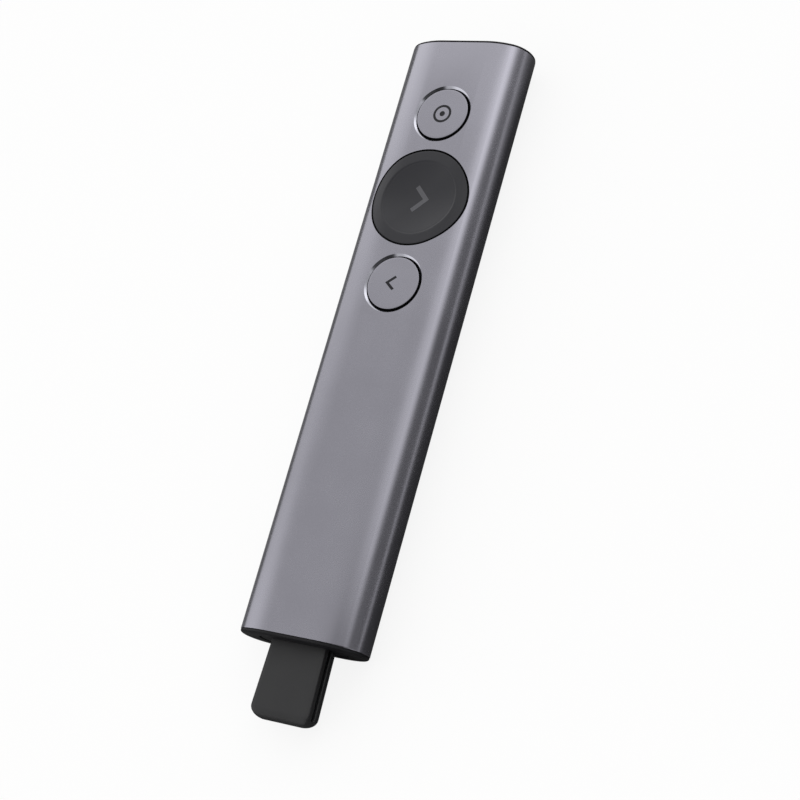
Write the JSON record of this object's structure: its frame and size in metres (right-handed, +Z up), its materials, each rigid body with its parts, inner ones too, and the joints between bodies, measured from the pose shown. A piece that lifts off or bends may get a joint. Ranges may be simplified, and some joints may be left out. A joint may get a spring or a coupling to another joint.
{
  "type": "wireless presentation clicker",
  "caption": "Slim hand-held presentation clicker in an extruded tube, with push buttons on top and a radio receiver docked in its rear end by a pull tab.",
  "frame": {"origin": "middle of the whole part, pull tab included, on the plane that the back rests on", "axes": "+X across the width to the right, +Y along the length to the front end, +Z up through the buttons"},
  "size_m": [0.028, 0.1468, 0.0121],
  "materials": {
    "slate_aluminium": "fine bead-blasted and anodised slate grey",
    "slate_button": "metallic paint that matches the tube",
    "soft_touch_button": "soft-touch, dished",
    "black_cap": "moulded, satin",
    "black_adhesive": "glued film",
    "inner_plastic": "moulded",
    "bright_steel": "stamped",
    "chip_black": "moulded",
    "switch_plastic": "moulded",
    "circuit_board": "solder mask",
    "ceramic": "fired",
    "clear_plastic": "moulded, clear",
    "battery_foil": "laminated pouch",
    "adhesive_pad": "double-sided tape",
    "foam": "open-cell foam",
    "lead_insulation": "silicone sleeve",
    "brass_weight": "gold-coloured metal",
    "black_elastomer": "moulded, matt"
  },
  "bodies": {
    "handset": {"housing_tube": "slate_aluminium", "front_cap": "black_cap", "rear_cap": "black_cap", "front_gasket": "black_adhesive", "rear_gasket": "black_adhesive", "chassis": "inner_plastic", "button_frame": "inner_plastic", "frame_screws": "bright_steel", "board_screws": "bright_steel", "pointer_switch": "chip_black", "next_switch": "chip_black", "back_switch": "chip_black", "main_board": "circuit_board", "radio_shield": "bright_steel", "radio_chip": "chip_black", "crystal": "bright_steel", "motion_sensor": "chip_black", "charger_chip": "chip_black", "board_passives": "ceramic", "antenna": "ceramic", "status_led": "ceramic", "light_pipe": "clear_plastic", "battery_cell": "battery_foil", "battery_tape": "adhesive_pad", "battery_foam": "foam", "battery_connector": "ceramic", "battery_leads": "lead_insulation", "motor_can": "bright_steel", "motor_shaft": "bright_steel", "motor_pad": "adhesive_pad", "charge_port_shell": "bright_steel", "charge_port_tongue": "chip_black", "receiver_dock": "inner_plastic", "dock_spring": "bright_steel"},
    "pointer_key": {"pointer_button": "slate_button", "pointer_plunger": "switch_plastic"},
    "next_key": {"next_button": "soft_touch_button", "next_plunger": "switch_plastic"},
    "back_key": {"back_button": "slate_button", "back_plunger": "switch_plastic"},
    "motor_weight": {"motor_rotor": "brass_weight"},
    "receiver": {"receiver_plug": "bright_steel", "receiver_tongue": "chip_black", "receiver_contacts": "brass_weight", "receiver_board": "circuit_board", "receiver_chip": "chip_black", "receiver_housing": "black_cap", "receiver_pull_tab": "black_elastomer"}
  },
  "joints": [
    {"name": "pointer_press", "type": "slide", "parent": "handset", "child": "pointer_key", "axis": [0, 0, -1], "range_m": [0, 0.0003], "stiffness_N_per_m": 4000},
    {"name": "next_press", "type": "slide", "parent": "handset", "child": "next_key", "axis": [0, 0, -1], "range_m": [0, 0.0004], "stiffness_N_per_m": 4000},
    {"name": "back_press", "type": "slide", "parent": "handset", "child": "back_key", "axis": [0, 0, -1], "range_m": [0, 0.0003], "stiffness_N_per_m": 4000},
    {"name": "motor_spin", "type": "hinge", "parent": "handset", "child": "motor_weight", "pos_m": [0, 0.02647, 0.0057], "axis": [0, 0, 1], "continuous": true},
    {"name": "receiver_pull", "type": "slide", "parent": "handset", "child": "receiver", "axis": [0, -1, 0], "range_m": [0, 0.03]}
  ]
}
